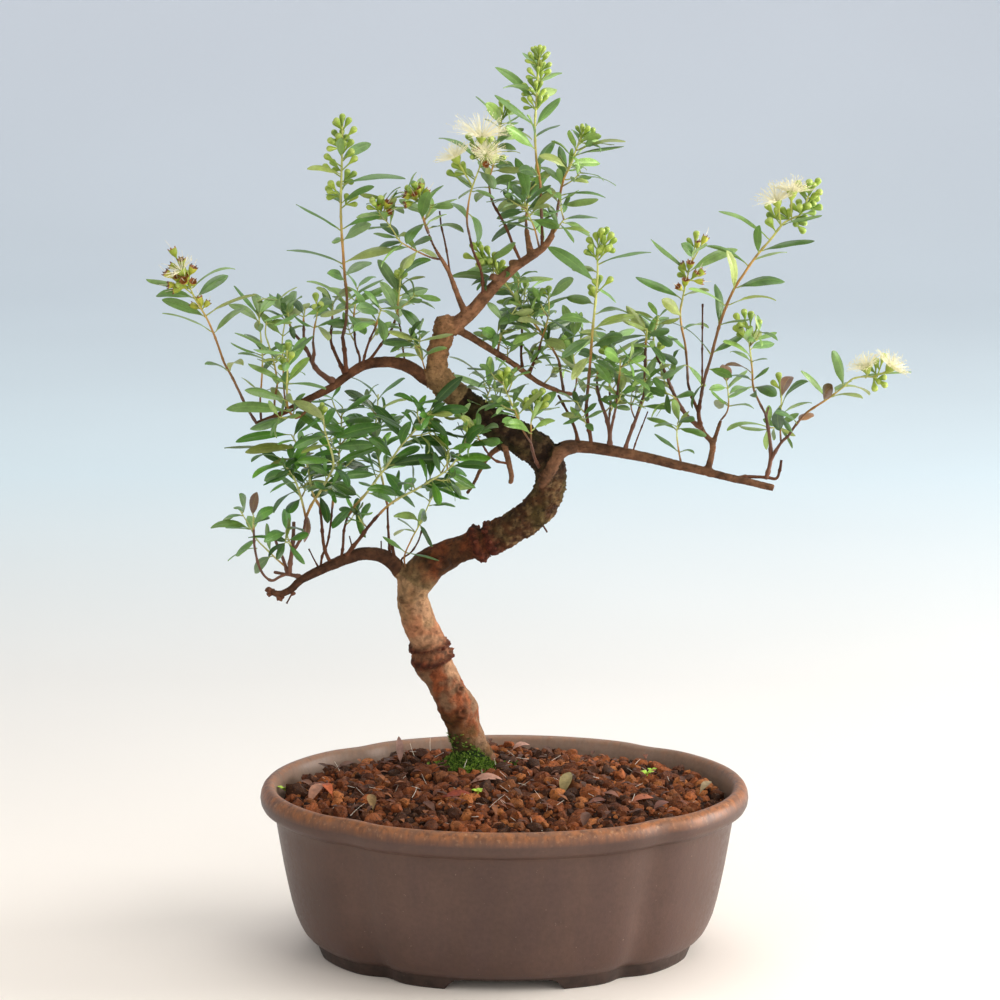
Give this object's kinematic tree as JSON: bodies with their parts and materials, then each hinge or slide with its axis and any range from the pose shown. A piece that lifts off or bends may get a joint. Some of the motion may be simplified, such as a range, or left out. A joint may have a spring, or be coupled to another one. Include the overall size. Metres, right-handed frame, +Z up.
{
  "type": "syzygium bonsai",
  "caption": "Flowering bonsai with a curved trunk, leafy shoots, buds and cream blooms, standing in mossy clay granules in an oval glazed pot on low feet.",
  "frame": {"origin": "centre of the whole part's bounding box, on the plane under the pot's feet", "axes": "+Z up, -Y towards the pictured front, +X to the right as seen from that front"},
  "size_m": [0.2755, 0.137, 0.3334],
  "materials": {
    "pot_glaze": "satin",
    "clay_granules": "matte",
    "moss_green": "matte",
    "bark_brown": "matte",
    "leaf_green": "satin",
    "leaf_dark": "satin",
    "leaf_fresh": "satin",
    "stamen_cream": "matte",
    "net_black": "matte"
  },
  "bodies": {
    "root": {"bloom_end_a": "stamen_cream", "bloom_end_b": "stamen_cream", "bloom_left": "stamen_cream", "bloom_right_a": "stamen_cream", "bloom_right_b": "stamen_cream", "bloom_top": "stamen_cream", "bloom_top_left": "stamen_cream", "bloom_top_low": "stamen_cream", "moss": "moss_green", "net_left": "net_black", "net_right": "net_black", "pot": "pot_glaze", "shoot_arch_back": "leaf_green", "shoot_arch_twig": "leaf_green", "shoot_behind_end": "leaf_green", "shoot_behind_mid": "leaf_green", "shoot_behind_side": "leaf_green", "shoot_behind_top": "leaf_green", "shoot_bloom_shoot": "leaf_green", "shoot_bright_left": "leaf_fresh", "shoot_brown_shoot": "leaf_green", "shoot_dark_left": "leaf_dark", "shoot_front_star": "leaf_green", "shoot_hanging_shoot": "leaf_green", "shoot_leader_dark": "leaf_green", "shoot_leader_mid": "leaf_green", "shoot_leader_pair": "leaf_fresh", "shoot_leader_yellow": "leaf_fresh", "shoot_left_inner": "leaf_green", "shoot_left_inner_b": "leaf_green", "shoot_left_inner_c": "leaf_green", "shoot_left_tip": "leaf_fresh", "shoot_low_back": "leaf_dark", "shoot_low_back_left": "leaf_dark", "shoot_low_centre": "leaf_dark", "shoot_low_front": "leaf_green", "shoot_low_right": "leaf_dark", "shoot_mid_back": "leaf_green", "shoot_mid_back_b": "leaf_green", "shoot_mid_low": "leaf_green", "shoot_mid_top": "leaf_fresh", "shoot_right_dim": "leaf_green", "shoot_right_green_b": "leaf_green", "shoot_right_mid": "leaf_green", "shoot_right_tall": "leaf_green", "shoot_slant_shoot": "leaf_green", "shoot_spire_left": "leaf_green", "shoot_spire_right": "leaf_green", "shoot_spire_top": "leaf_green", "shoot_upper_left_low": "leaf_green", "shoot_upper_left_top": "leaf_green", "soil": "clay_granules", "spray_front_peg": "leaf_green", "spray_low_left_stub": "leaf_dark", "spray_mid_left_fork": "leaf_green", "spray_right_end_post": "leaf_green", "spray_right_main_arm": "leaf_green", "spray_right_post_c": "leaf_green", "spray_right_post_f": "leaf_green", "wood": "bark_brown"}
  },
  "joints": []
}
